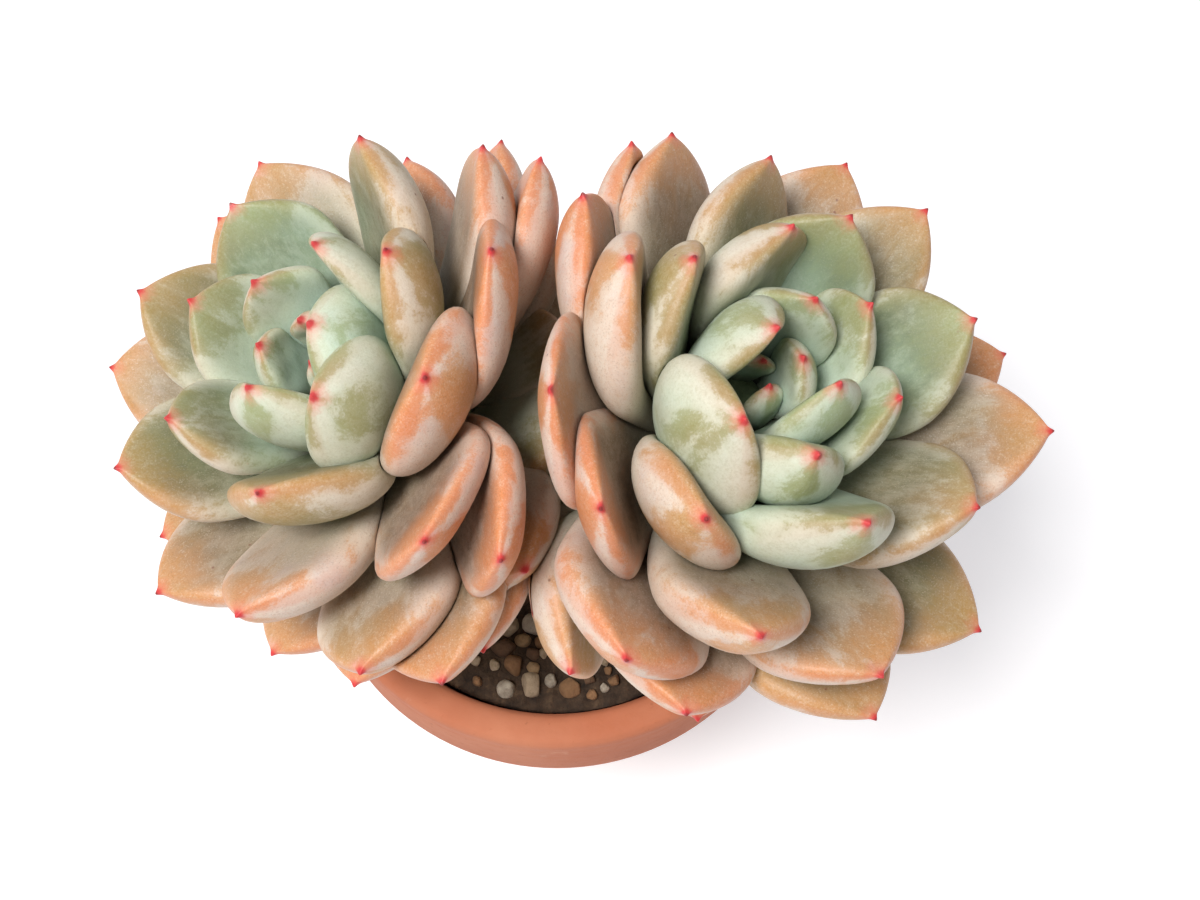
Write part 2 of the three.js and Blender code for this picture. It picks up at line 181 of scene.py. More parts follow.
RIGHT_LEAVES = [
    (91, -8, 8, 5, 2.4, 0.10, 0, 0.10, 0.00),
    (303.5, -12.5, 8, 6, 3, 0.10, 0, 0.14, 0.00),
    (11, -2, 13, 9, 4.5, 0.15, 0, 0.08, 0.00),
    (173.5, -1, 19, 14.5, 6.5, 0.24, 28, 0.18, 0.25),
    (299, 8, 21, 13, 5.5, 0.20, -4, 0.12, 0.25),
    (65, 10, 18, 12, 5, 0.15, 0, 0.08, 0.10),
    (268.5, 26, 25, 14, 9, 0.12, 1, 0.08, 0.10),
    (235, 25.5, 26, 18.5, 9, 0.20, 28, 0.22, 0.25),
    (36, 26.5, 20, 14, 5.5, 0.18, 25, 0.14, 0.25),
    (90, 26, 23, 19, 8, 0.20, -42, 0.30, 0.35),
    (336.5, 21, 23, 16, 5.5, 0.15, 0, 0.14, 0.25),
    (154.5, 22.5, 26, 17, 7, 0.16, -9, 0.32, 0.75),
    (66, 35, 26, 17, 7, 0.16, 0, 0.20, 0.85),
    (281, 33.5, 32, 18, 9, 0.18, -2, 0.14, 0.35),
    (242.5, 41.5, 30, 16.5, 8.5, 0.14, 20, 0.58, 0.62),
    (166, 32, 30, 20.5, 8.4, 0.18, -9, 0.62, 0.35),
    (18, 41, 30, 18, 7, 0.12, 0, 0.20, 0.80),
    (88, 51.5, 29, 18, 8, 0.12, -38, 0.46, 0.70),
    (325, 44, 31, 20, 8.5, 0.15, 0, 0.44, 0.60),
    (200, 45, 34, 22, 5.2, 0.17, 19, 0.84, 0.45),
    (224.5, 48, 33, 19, 5.8, 0.18, 27, 0.94, 0.70),
    (261, 49, 37, 18, 9, 0.16, -6, 0.62, 0.52),
    (49, 49, 34, 17, 7.5, 0.12, 0, 0.46, 0.65),
    (143.5, 46.5, 31, 20, 8, 0.15, -28, 0.86, 0.65),
    (355.5, 53.5, 37, 20, 8, 0.10, 0, 0.66, 0.55),
    (107, 58, 32, 21, 8.5, 0.12, -30, 0.68, 0.60),
    (292.5, 60, 34, 21, 8.5, 0.14, -8, 0.68, 0.50),
    (244.5, 59.5, 37, 21, 8.5, 0.14, 7, 0.80, 0.62),
    (116, 57, 32, 17, 8, 0.12, -34, 0.76, 0.50),
    (66, 64, 36, 19, 7.5, 0.10, 0, 0.62, 0.55),
    (323.5, 71.5, 35, 20, 8, 0.10, 0, 0.46, 1.00),
    (297.5, 74, 34, 20, 8, 0.12, 0, 0.56, 1.00),
    (260.5, 68.5, 33, 20, 8, 0.12, 0, 0.74, 0.65),
    (20, 70, 38, 19, 8, 0.10, 0, 0.72, 0.55),
    (242, 80, 29, 18, 8.5, 0.30, 45, 0.55, 0.40),
]

# Low leaves under those, by the golden angle, left out on the side of the other head.
# Their colours are warmth and rubbed off powder, as in the rows above.
LOW_LEAF_COUNT = 14
LOW_LEAF_LEAN = 83.0
LOW_LEAF_LEAN_GAIN = 0.7
LOW_LEAF_SIZE = (26, 17, 7, 0.10, 0)
LOW_LEAF_COLOUR = (0.68, 0.45)
LOW_LEAF_CLEAR_ANGLE = 62.0

# Leaves that fill the valley between the heads. Their turn is from the way to the other head.
VALLEY_LEAVES = [
    (-52, 76, 24, 17, 7.5, 0.10, 0, 0.62, 0.35),
    (-17, 80, 16, 14, 6.5, 0.10, 0, 0.40, 0.30),
    (17, 80, 16, 14, 6.5, 0.10, 0, 0.40, 0.30),
    (52, 76, 24, 17, 7.5, 0.10, 0, 0.62, 0.35),
]

# Where low and valley leaves start along the core, as a share of the span of the leaves above
RULE_LEAF_SHARE = 1.15

# Heads: the growing point, the axis's tilt from upright and its compass turn in degrees, the depth
# that the leaf bases take up, the leaves, and the ways to the first low leaf and to the other head
HEADS = {
    "left": {
        "top": (-28.0, 2.0, 102.0), "tilt": 27, "turn": 180, "span": 14,
        "leaves": LEFT_LEAVES, "low_start": 100, "other": 0,
    },
    "right": {
        "top": (25.0, -1.5, 102.0), "tilt": 20, "turn": 0, "span": 16,
        "leaves": RIGHT_LEAVES, "low_start": 30, "other": 180,
    },
}
HEART_LEAVES = 13
LEAF_SEED = 42

rng = np.random.default_rng(LEAF_SEED)


def unit(vector):
    return vector / np.linalg.norm(vector)


def linear(red, green, blue):
    """A display colour from 0 to 255 as the shader's linear colour."""
    share = np.array([red, green, blue]) / 255
    values = np.where(share <= 0.04045, share / 12.92, ((share + 0.055) / 1.055) ** 2.4)
    return (*values.tolist(), 1.0)


# Leaf geometry


def head_axes(head):
    tilt = math.radians(head["tilt"])
    turn = math.radians(head["turn"])
    axis = np.array([math.sin(tilt) * math.cos(turn), math.sin(tilt) * math.sin(turn), math.cos(tilt)])
    across = unit(np.cross([0.0, 1.0, 0.0], axis))
    return axis, across, np.cross(axis, across)


def half_width_share(u):
    low = ROOT_WIDTH + (1 - ROOT_WIDTH) * np.sin(np.pi / 2 * np.clip(u / WIDEST, 0, 1)) ** 1.25
    high = (1 - np.clip((u - WIDEST) / (1 - WIDEST), 0, 1) ** 2) ** TIP_ROUNDNESS
    return np.where(u < WIDEST, low, high)


def thickness_share(u):
    low = ROOT_THICKNESS + (1 - ROOT_THICKNESS) * np.sin(np.pi / 2 * np.clip(u / THICKEST, 0, 1))
    high = (1 - np.clip((u - THICKEST) / (1 - THICKEST), 0, 1) ** 2.6) ** 0.62
    return np.where(u < THICKEST, low, high)


def leaf_skins(leaf, u, across):
    """How far the inner and the outer skin lie from the leaf's middle, along its back."""
    depth = leaf["thick"] * thickness_share(u)
    cosine = np.abs(across) ** (1 / MARGIN_SHARPNESS)
    bulge = np.sqrt(np.clip(1 - cosine**2, 0, 1))
    keel = KEEL / 2 * np.exp(-((across / KEEL_WIDTH) ** 2)) * np.clip((u - 0.55) / 0.35, 0, 1)
    inner = -depth * (FLAT_SIDE - HOLLOW * (1 - across**2)) * bulge
    outer = depth * (1 - FLAT_SIDE) * bulge + depth * keel
    return inner, outer


def make_leaf(head, row, share):
    axis, across, along_turn = head_axes(head)
    turn, lean, length, width, thick, bow, roll, warmth, rubbed_and_shaded = row
    out = across * math.cos(math.radians(turn)) + along_turn * math.sin(math.radians(turn))
    along = axis * math.cos(math.radians(lean)) + out * math.sin(math.radians(lean))
    side = np.cross(axis, out)
    back = unit(np.cross(side, along))
    roll = math.radians(roll)
    depth = FIRST_LEAF_DEPTH + head["span"] * share
    radius = FIRST_ROOT_RADIUS + ROOT_RADIUS_GAIN * share**0.7
    return {
        "root": np.array(head["top"]) - axis * depth + out * radius,
        "along": along,
        "side": side * math.cos(roll) + back * math.sin(roll),
        "back": back * math.cos(roll) - side * math.sin(roll),
        "length": float(length), "width": float(width), "thick": float(thick), "bow": bow,
        "warmth": warmth, "rubbed_and_shaded": rubbed_and_shaded,
    }


def head_leaves(head):
    rows = head["leaves"]
    leaves = [make_leaf(head, row, (k + 0.5) / len(rows)) for k, row in enumerate(rows)]
    for k in range(LOW_LEAF_COUNT):
        turn = (head["low_start"] + k * GOLDEN_ANGLE) % 360
        off = abs((turn - head["other"] + 540) % 360 - 180)
        if off > LOW_LEAF_CLEAR_ANGLE:
            lean = LOW_LEAF_LEAN + LOW_LEAF_LEAN_GAIN * k
            leaves.append(make_leaf(head, (turn, lean, *LOW_LEAF_SIZE, *LOW_LEAF_COLOUR), RULE_LEAF_SHARE))
    for turn, *form in VALLEY_LEAVES:
        leaves.append(make_leaf(head, (head["other"] + turn, *form), RULE_LEAF_SHARE))
    return leaves


def leaf_stations():
    """Places along a leaf, close together where its outline turns in to the tip."""
    low = WIDEST * np.linspace(0, 1, 13)[:-1]
    widths = np.array([1, 0.99, 0.965, 0.93, 0.885, 0.83, 0.77, 0.70, 0.63, 0.55, 0.47, 0.39, 0.32, 0.25,
                       0.19, 0.14, 0.10, 0.068, 0.044, 0.026, 0.013, 0.005])
    high = WIDEST + (1 - WIDEST) * np.sqrt(1 - widths ** (1 / TIP_ROUNDNESS))
    return np.concatenate([low, high])


STATIONS = leaf_stations()
ANGLES = 2 * np.pi * np.arange(LEAF_SIDES) / LEAF_SIDES
GRID_U = np.repeat(STATIONS[:, None], LEAF_SIDES, axis=1)
RING_ACROSS = np.sign(np.cos(ANGLES)) * np.abs(np.cos(ANGLES)) ** MARGIN_SHARPNESS
GRID_ACROSS = np.broadcast_to(RING_ACROSS, GRID_U.shape)
GRID_RISE = np.broadcast_to(np.sin(ANGLES), GRID_U.shape)


def leaf_grid(leaf):
    """The leaf's skin as a grid of points, rings of it along the leaf."""
    u, across, rise = GRID_U, GRID_ACROSS, GRID_RISE
    inner, outer = leaf_skins(leaf, u, across)
    offset = np.where(rise > 1e-9, inner, np.where(rise < -1e-9, outer, 0))
    half_width = leaf["width"] / 2 * half_width_share(u)
    phase = rng.uniform(0, 2 * np.pi, 6)
    pace = rng.uniform(0.7, 1.3, 6)
    wave = (np.sin(2 * np.pi * pace[0] * u + phase[0]) * np.sin(2.2 * pace[1] * across + phase[1])
            + 0.6 * np.sin(4.6 * np.pi * pace[2] * u + phase[2]) * np.cos(3.1 * pace[3] * across + phase[3]))
    swell = SWELL * wave * np.sin(np.pi * np.clip(u, 0, 1)) ** 0.5
    edge_wave = EDGE_WAVE * np.sin(3.2 * np.pi * pace[4] * u + phase[4]) * np.sin(np.pi * np.clip(u, 0, 1))
    middle = leaf["bow"] * leaf["length"] * 2 * u * (1 - u)
    points = (leaf["root"]
              + leaf["along"] * (leaf["length"] * u)[..., None]
              + leaf["side"] * (across * half_width + edge_wave * np.abs(across) ** 3)[..., None]
              + leaf["back"] * (middle + offset - swell * np.sign(rise))[..., None])
    radius = np.hypot(across * half_width, offset)
    lift = POINT_LENGTH * np.exp(-((radius / POINT_RADIUS) ** 2)) * (u > WIDEST)
    return points + leaf["along"] * lift[..., None]


def leaf_place(leaf, points):
    """Where points lie in a leaf: along it, across it, and behind its middle."""
    offset = points - leaf["root"]
    u = offset @ leaf["along"] / leaf["length"]
    aside = offset @ leaf["side"]
    behind = offset @ leaf["back"] - leaf["bow"] * leaf["length"] * 2 * u * (1 - u)
    half_width = leaf["width"] / 2 * half_width_share(np.clip(u, 0, 0.9999))
    return u, aside / np.maximum(half_width, 1e-3), behind


def press(points, leaf, softness, body):
    """Moves points off another leaf, to the side of it that most of them are on."""
    u, across, behind = leaf_place(leaf, points)
    over = (u > 0.03) & (u < 0.99) & (np.abs(across) < 0.999)
    if not over.any():
        return points
    inner, outer = leaf_skins(leaf, np.clip(u, 0, 1), np.clip(across, -1, 1))
    thickness = np.maximum(outer - inner, 0.05)
    middle = (inner + outer) / 2
    near = over & body & (np.abs(behind - middle) < 1.5 * thickness)
    at_back = not near.any() or np.mean(behind[near] > middle[near]) > 0.4
    clear = behind - outer - PRESS_GAP if at_back else inner - behind - PRESS_GAP
    weight = np.clip((0.62 + clear / thickness) / 0.27, 0, 1) * over
    wanted = softness * np.logaddexp(0, np.clip(clear / softness, -60, 60))
    move = np.clip(wanted - clear, 0, None) * weight
    direction = leaf["back"] if at_back else -leaf["back"]
    return points + direction * move[..., None]


def blur(field):
    """Evens out a leaf grid's moves with those of its neighbours."""
    ends = np.concatenate([field[:1], field, field[-1:]])
    field = (ends[:-2] + 2 * ends[1:-1] + ends[2:]) / 4
    return (np.roll(field, 1, axis=1) + 2 * field + np.roll(field, -1, axis=1)) / 4


def press_all(leaves):
    """Every leaf gives way to the leaves before it, as crowded leaves do."""
    grids = [leaf_grid(leaf) for leaf in leaves]
    body = GRID_U > 0.3
    pressed = []
    for i, leaf in enumerate(leaves):
        start = grids[i]
        centre = leaf["root"] + leaf["along"] * leaf["length"] / 2
        near = []
        for other in leaves[:i]:
            reach = (leaf["length"] + other["length"]) / 2 + 6
            if np.linalg.norm(other["root"] + other["along"] * other["length"] / 2 - centre) < reach:
                near.append(other)
        points = start
        for other in near:
            points = press(points, other, FIRST_SOFTNESS, body)
        moved = blur(blur(points - start))
        points = start + moved
        for other in near:
            points = press(points, other, LAST_SOFTNESS, body)
        pressed.append(points)
    return pressed


def mesh_object(name, points, faces, material):
    mesh = bpy.data.meshes.new(name)
    mesh.from_pydata((np.asarray(points) * MM).tolist(), [], faces)
    mesh.materials.append(material)
    mesh.polygons.foreach_set("use_smooth", [True] * len(mesh.polygons))
    mesh.update()
    piece = bpy.data.objects.new(name, mesh)
    bpy.context.scene.collection.objects.link(piece)
    return piece


def add_vectors(mesh, name, values):
    layer = mesh.attributes.new(name, "FLOAT_VECTOR", "POINT")
    layer.data.foreach_set("vector", np.asarray(values, np.float32).ravel())


RINGS = len(STATIONS)


def grid_faces(first):
    """Faces of a closed leaf whose points begin at first: root point, rings, tip point."""
    faces = []
    for side in range(LEAF_SIDES):
        beside = (side + 1) % LEAF_SIDES
        faces.append((first, first + 1 + side, first + 1 + beside))
        for ring in range(RINGS - 1):
            low = first + 1 + ring * LEAF_SIDES
            high = low + LEAF_SIDES
            faces.append((low + side, high + side, high + beside, low + beside))
        top = first + 1 + (RINGS - 1) * LEAF_SIDES
        faces.append((top + side, first + 1 + RINGS * LEAF_SIDES, top + beside))
    return faces


def grid_map(tile, tiles_wide, tiles_high):
    """The bake map of one leaf: a tile, with the way round the leaf across it."""
    left = (tile % tiles_wide) / tiles_wide
    low = (tile // tiles_wide) / tiles_high
    rows = [(ring + 1) / (RINGS + 1) for ring in range(RINGS)]

    def at(column, row):
        return (left + (0.03 + 0.94 * column / LEAF_SIDES) / tiles_wide,
                low + (0.03 + 0.94 * row) / tiles_high)

    places = []
    for side in range(LEAF_SIDES):
        places += [at(side + 0.5, 0), at(side, rows[0]), at(side + 1, rows[0])]
        for ring in range(RINGS - 1):
            places += [at(side, rows[ring]), at(side, rows[ring + 1]),
                       at(side + 1, rows[ring + 1]), at(side + 1, rows[ring])]
        places += [at(side, rows[-1]), at(side + 0.5, 1), at(side + 1, rows[-1])]
    return places


def leaf_piece(name, leaves, grids, material):
    points, faces, place, colour, spot, maps = [], [], [], [], [], []
    tiles_wide = math.ceil(math.sqrt(len(leaves)))
    tiles_high = math.ceil(len(leaves) / tiles_wide)
    for tile, (leaf, grid) in enumerate(zip(leaves, grids)):
        first = len(points)
        tip = grid[-1].mean(axis=0) + leaf["along"] * 0.02
        ring = grid.reshape(-1, 3)
        skin = np.concatenate([[leaf["root"]], ring, [tip]])
        faces += grid_faces(first)
        points += skin.tolist()
        u = np.concatenate([[0], GRID_U.ravel(), [1]])
        across = np.concatenate([[0], GRID_ACROSS.ravel(), [0]])
        back = np.concatenate([[0], -GRID_RISE.ravel(), [0]])
        place.append(np.stack([u, across, back], axis=1))
        offset = skin - leaf["root"]
        seed = rng.uniform(-400, 400, 3)
        own = np.stack([offset @ leaf["side"], offset @ leaf["back"], offset @ leaf["along"]], axis=1)
        spot.append(own + seed)
        reach = np.linalg.norm(skin - tip, axis=1)
        warmth = np.full(len(skin), leaf["warmth"])
        rubbed_and_shaded = np.full(len(skin), leaf["rubbed_and_shaded"])
        colour.append(np.stack([warmth, rubbed_and_shaded, reach], axis=1))
        maps += grid_map(tile, tiles_wide, tiles_high)
    piece = mesh_object(name, points, faces, material)
    add_vectors(piece.data, "leaf_place", np.concatenate(place))
    add_vectors(piece.data, "leaf_colour", np.concatenate(colour))
    add_vectors(piece.data, "leaf_spot", np.concatenate(spot))
    layer = piece.data.uv_layers.new(name="OFBake")
    layer.data.foreach_set("uv", np.asarray(maps, np.float32).ravel())
    return piece


# Shader nodes


class Graph:
    """A short way to write a material's node tree."""

    def __init__(self, name):
        self.material = bpy.data.materials.new(name)
        self.material.use_nodes = True
        self.tree = self.material.node_tree
        self.shader = self.tree.nodes["Principled BSDF"]

    def put(self, socket, value):
        if isinstance(value, bpy.types.NodeSocket):
            self.tree.links.new(value, socket)
        else:
            socket.default_value = value

    def set(self, name, value):
        self.put(self.shader.inputs[name], value)

    def math(self, operation, first, second=0.0, clamp=False):
        node = self.tree.nodes.new("ShaderNodeMath")
        node.operation = operation
        node.use_clamp = clamp
        self.put(node.inputs[0], first)
        self.put(node.inputs[1], second)
        return node.outputs[0]

    def product(self, first, *others):
        for other in others:
            first = self.math("MULTIPLY", first, other)
        return first

    def total(self, *terms, clamp=False):
        """The sum of values, each alone or in a pair with its weight."""
        parts = [self.math("MULTIPLY", *term) if isinstance(term, tuple) else term for term in terms]
        result = parts[0]
        for part in parts[1:-1]:
            result = self.math("ADD", result, part)
        return self.math("ADD", result, parts[-1], clamp)

    def mix(self, share, first, second):
        node = self.tree.nodes.new("ShaderNodeMix")
        node.data_type = "RGBA"
        self.put(node.inputs[0], share)
        self.put(node.inputs[6], first)
        self.put(node.inputs[7], second)
        return node.outputs[2]

    def step(self, value, low, high, to_low=0.0, to_high=1.0):
        node = self.tree.nodes.new("ShaderNodeMapRange")
        node.interpolation_type = "SMOOTHSTEP"
        self.put(node.inputs[0], value)
        self.put(node.inputs[1], low)
        self.put(node.inputs[2], high)
        self.put(node.inputs[3], to_low)
        self.put(node.inputs[4], to_high)
        return node.outputs[0]

    def ramp(self, value, stops):
        node = self.tree.nodes.new("ShaderNodeValToRGB")
        while len(node.color_ramp.elements) < len(stops):
            node.color_ramp.elements.new(0.5)
        for element, (place, colour) in zip(node.color_ramp.elements, stops):
            element.position = place
            element.color = colour
        self.put(node.inputs[0], value)
        return node.outputs[0]

    def noise(self, place, scale, detail=3.0, roughness=0.5, distortion=0.0):
        node = self.tree.nodes.new("ShaderNodeTexNoise")
        self.put(node.inputs["Vector"], place)
        node.inputs["Scale"].default_value = scale
        node.inputs["Detail"].default_value = detail
        node.inputs["Roughness"].default_value = roughness
        node.inputs["Distortion"].default_value = distortion
        return node.outputs[0]

    def cells(self, place, scale):
        node = self.tree.nodes.new("ShaderNodeTexVoronoi")
        self.put(node.inputs["Vector"], place)
        node.inputs["Scale"].default_value = scale
        return node.outputs["Distance"]

    def attribute(self, name):
        node = self.tree.nodes.new("ShaderNodeAttribute")
        node.attribute_name = name
        return node.outputs["Vector"]

    def split(self, vector):
        node = self.tree.nodes.new("ShaderNodeSeparateXYZ")
        self.put(node.inputs[0], vector)
        return node.outputs

    def stretch(self, vector, scale):
        node = self.tree.nodes.new("ShaderNodeMapping")
        self.put(node.inputs["Vector"], vector)
        node.inputs["Scale"].default_value = scale
        return node.outputs[0]

    def place(self):
        return self.tree.nodes.new("ShaderNodeTexCoord").outputs["Object"]

    def bump(self, height, distance, normal=None):
        node = self.tree.nodes.new("ShaderNodeBump")
        node.inputs["Strength"].default_value = 1.0
        node.inputs["Distance"].default_value = distance
        self.put(node.inputs["Height"], height)
        if normal is not None:
            self.put(node.inputs["Normal"], normal)
        return node.outputs[0]


def leaf_material():
    g = Graph("leaf_skin")
    u, across, back = g.split(g.attribute("leaf_place"))
    warmth, rubbed_and_shaded, reach = g.split(g.attribute("leaf_colour"))
    spot = g.attribute("leaf_spot")
    long_spot = g.stretch(spot, (1.0, 1.0, 0.55))
    broad = g.noise(spot, 0.10, 2.0, 0.5)
    blotch = g.noise(long_spot, 0.24, 5.0, 0.62, 0.5)
    ragged = g.noise(long_spot, 1.1, 5.0, 0.7, 0.3)
    grain = g.noise(spot, 3.4, 4.0, 0.7)
    uneven = g.math("SUBTRACT", ragged, 0.5)
    grainy = g.math("SUBTRACT", grain, 0.5)
    margin = g.math("ABSOLUTE", across)

    # The flesh under the powder, greener near the root and warmer to the tip and the margins
    warm = g.total(
        warmth, (g.math("SUBTRACT", broad, 0.5), 0.45), g.step(u, 0.35, 1.0, -0.12, 0.16),
        g.step(margin, 0.55, 1.0, 0.0, 0.10), clamp=True)
    flesh = g.ramp(warm, [
        (0.0, linear(158, 182, 154)), (0.22, linear(158, 168, 120)), (0.42, linear(156, 146, 96)),
        (0.62, linear(184, 146, 92)), (0.82, linear(208, 150, 98)), (1.0, linear(216, 140, 92)),
    ])
    powder = g.ramp(warm, [
        (0.0, linear(192, 213, 200)), (0.25, linear(208, 217, 197)), (0.5, linear(219, 212, 194)),
        (0.75, linear(223, 209, 194)), (1.0, linear(223, 204, 190)),
    ])
    lilac = g.product(
        g.step(g.noise(spot, 0.16, 2.0, 0.5), 0.52, 0.72), g.step(warmth, 0.35, 0.75, 0.1, 0.55))
    powder = g.mix(lilac, powder, linear(206, 190, 186))

    # Powder rubs off on the ridge of the back, at the far edge and near the tip, and stays on the
    # margins of the back
    edge = g.product(g.step(g.math("ABSOLUTE", back), 0.70, 0.15), g.step(u, 0.50, 0.85))
    near = g.step(reach, 10.5, 4.0)
    ridge = g.product(g.step(back, -0.1, 0.35), g.step(margin, 0.80, 0.15))
    far = g.product(g.step(back, 0.1, -0.3), g.step(u, 0.55, 0.95))
    kept = g.product(g.step(back, 0.0, 0.4), g.step(margin, 0.45, 0.95))
    # The leaf's rubbed share bares more of the darker flesh; where it was raised on leaves that lie in
    # shade, this is painted shade.
    bare = g.total(
        (ridge, 0.13), (far, 0.09), (edge, 0.05), (kept, -0.10), (near, 0.11),
        (blotch, 0.62), (ragged, 0.30), (grainy, 0.30), (rubbed_and_shaded, 0.20))
    bare = g.total((g.step(bare, 0.59, 0.73), 0.4), (g.step(bare, 0.44, 0.86), 0.6))
    cover = g.total(g.step(bare, 0.0, 1.0, 0.92, 0.08), (uneven, 0.60), (grainy, 0.90), clamp=True)
    colour = g.mix(cover, flesh, powder)

    # Painted shade in the hollow of the inner side, which is darkened to a duller olive or brown
    hollow_shade = g.product(
        g.step(back, 0.0, -0.6), g.step(margin, 1.0, 0.55), g.step(u, 1.0, 0.70),
        g.step(ragged, 0.3, 0.7, 0.70, 1.0), g.step(rubbed_and_shaded, 0.15, 0.75, 0.35, 1.0))
    shade_colour = g.ramp(warm, [
        (0.0, linear(150, 172, 152)), (0.25, linear(118, 130, 102)), (0.5, linear(122, 114, 86)),
        (0.75, linear(132, 112, 92)), (1.0, linear(130, 106, 88)),
    ])
    colour = g.mix(hollow_shade, colour, shade_colour)

    # Deeper towards the root, where leaves shade each other
    colour = g.mix(g.step(u, 0.55, 0.15, 0.0, 0.75), colour, linear(94, 100, 76))

    # Pale and dark specks, where grains of powder stand up or are missing
    speck = g.total(g.noise(spot, 5.0, 3.0, 0.6), (uneven, 0.35))
    pale = g.product(g.step(speck, 0.55, 0.72, 0.0, 0.30), g.step(warmth, 0.2, 0.6, 0.35, 1.0))
    colour = g.mix(pale, colour, linear(236, 226, 212))
    dark = g.product(g.step(speck, 0.44, 0.32, 0.0, 0.30), g.step(warmth, 0.2, 0.6, 0.3, 1.0))
    colour = g.mix(dark, colour, linear(140, 108, 80))

    # Pink halo and red point at the tip, and reddish margins towards it
    halo = g.step(g.total(reach, (uneven, 2.4)), 0.5, 2.8, 0.55, 0.0)
    colour = g.mix(halo, colour, linear(228, 124, 108))
    rim = g.product(
        g.step(margin, 0.93, 0.995), g.step(u, 0.60, 0.92), g.step(warmth, 0.4, 0.7, 0.10, 0.25))
    colour = g.mix(rim, colour, linear(206, 116, 82))
    point = g.step(g.total(reach, (uneven, 0.9)), 0.45, 1.25, 0.9, 0.0)
    colour = g.mix(point, colour, linear(208, 52, 62))
    core = g.product(g.step(reach, 0.20, 0.50, 0.7, 0.0), g.step(rubbed_and_shaded, 0.48, 0.56))
    colour = g.mix(core, colour, linear(104, 44, 42))

    # A few small dark scars
    scar = g.product(
        g.step(g.cells(spot, 0.30), 0.03, 0.08, 0.7, 0.0), g.step(g.noise(spot, 0.07, 1.0), 0.57, 0.61))
    colour = g.mix(scar, colour, linear(126, 78, 66))

    g.set("Base Color", colour)
    g.set("Roughness", g.step(cover, 0.1, 0.9, 0.40, 0.62))
    g.set("Subsurface Weight", 0.12)
    g.set("Subsurface Radius", (1.0, 0.8, 0.6))
    g.set("Subsurface Scale", 0.0015)
    g.set("Specular IOR Level", 0.35)
    normal = g.bump(blotch, 0.00010)
    normal = g.bump(ragged, 0.00005, normal)
    g.set("Normal", g.bump(grain, 0.00003, normal))
    return g.material


def clay_material():
    g = Graph("clay")
    place = g.place()
    broad = g.noise(place, 35, 4.0, 0.6)
    fine = g.noise(place, 900, 4.0, 0.6)
    lines = g.noise(g.stretch(place, (6, 6, 900)), 1.0, 3.0, 0.5)
    colour = g.ramp(broad, [
        (0.25, linear(168, 96, 66)), (0.5, linear(186, 110, 78)), (0.75, linear(198, 128, 96)),
    ])
    bloom = g.step(g.noise(place, 60, 6.0, 0.7, 0.4), 0.55, 0.72, 0.0, 0.45)
    colour = g.mix(bloom, colour, linear(222, 186, 164))
    colour = g.mix(g.step(fine, 0.62, 0.75, 0.0, 0.3), colour, linear(130, 72, 50))
    g.set("Base Color", colour)
    g.set("Roughness", g.step(fine, 0.2, 0.8, 0.78, 0.92))
    normal = g.bump(lines, 0.0002)
    g.set("Normal", g.bump(fine, 0.00008, normal))
    return g.material


def soil_material():
    g = Graph("soil")
    place = g.place()
    crumbs = g.cells(place, 520)
    fine = g.noise(place, 1500, 4.0, 0.7)
    colour = g.ramp(g.noise(place, 420, 5.0, 0.7), [
        (0.3, linear(44, 34, 27)), (0.55, linear(76, 59, 45)), (0.75, linear(112, 90, 68)),
    ])
    g.set("Base Color", colour)
    g.set("Roughness", g.step(fine, 0.2, 0.8, 0.88, 0.98))
    normal = g.bump(crumbs, 0.0009)
    g.set("Normal", g.bump(fine, 0.0003, normal))
    return g.material


def stone_material():
    g = Graph("grit")
    kind = g.split(g.attribute("stone_kind"))[0]
    place = g.place()
    colour = g.ramp(kind, [
        (0.0, linear(96, 72, 56)), (0.25, linear(150, 112, 78)), (0.5, linear(186, 156, 118)),
        (0.75, linear(206, 196, 178)), (1.0, linear(92, 62, 54)),
    ])
    mottle = g.noise(place, 1400, 5.0, 0.7)
    colour = g.mix(g.step(mottle, 0.35, 0.75, 0.0, 0.5), colour, linear(120, 96, 74))
    g.set("Base Color", colour)
    g.set("Roughness", g.step(mottle, 0.2, 0.8, 0.8, 0.95))
    g.set("Normal", g.bump(mottle, 0.0004))
    return g.material


def bark_material():
    g = Graph("bark")
    place = g.place()
    rings = g.noise(g.stretch(place, (300, 300, 1100)), 1.0, 5.0, 0.65)
    fine = g.noise(place, 1600, 4.0, 0.6)
    colour = g.ramp(rings, [
        (0.3, linear(84, 66, 48)), (0.5, linear(128, 104, 76)), (0.7, linear(158, 140, 108)),
    ])
    green = g.step(g.noise(place, 120, 3.0), 0.5, 0.7, 0.0, 0.35)
    colour = g.mix(green, colour, linear(124, 132, 92))
    g.set("Base Color", colour)
    g.set("Roughness", g.step(fine, 0.2, 0.8, 0.7, 0.9))
    normal = g.bump(rings, 0.0006)
    g.set("Normal", g.bump(fine, 0.0002, normal))
    return g.material


def shoot_material():
    g = Graph("shoot")
    place = g.place()
    colour = g.ramp(g.noise(place, 260, 4.0, 0.6), [
        (0.3, linear(104, 122, 92)), (0.7, linear(150, 164, 126)),
    ])
    fine = g.noise(place, 1800, 3.0, 0.6)
    g.set("Base Color", colour)
    g.set("Roughness", g.step(fine, 0.2, 0.8, 0.5, 0.7))
    g.set("Normal", g.bump(fine, 0.0001))
    return g.material


def floor_material():
    g = Graph("floor")
    place = g.place()
    tone = g.ramp(g.noise(place, 3.0, 2.0), [(0.3, (0.68, 0.68, 0.70, 1)), (0.7, (0.72, 0.72, 0.73, 1))])
    g.set("Base Color", tone)
    g.set("Emission Color", tone)
    g.set("Emission Strength", FLOOR_GLOW)
    g.set("Roughness", 0.8)
    g.set("Specular IOR Level", 0.2)
    return g.material


# Pot, soil and stem


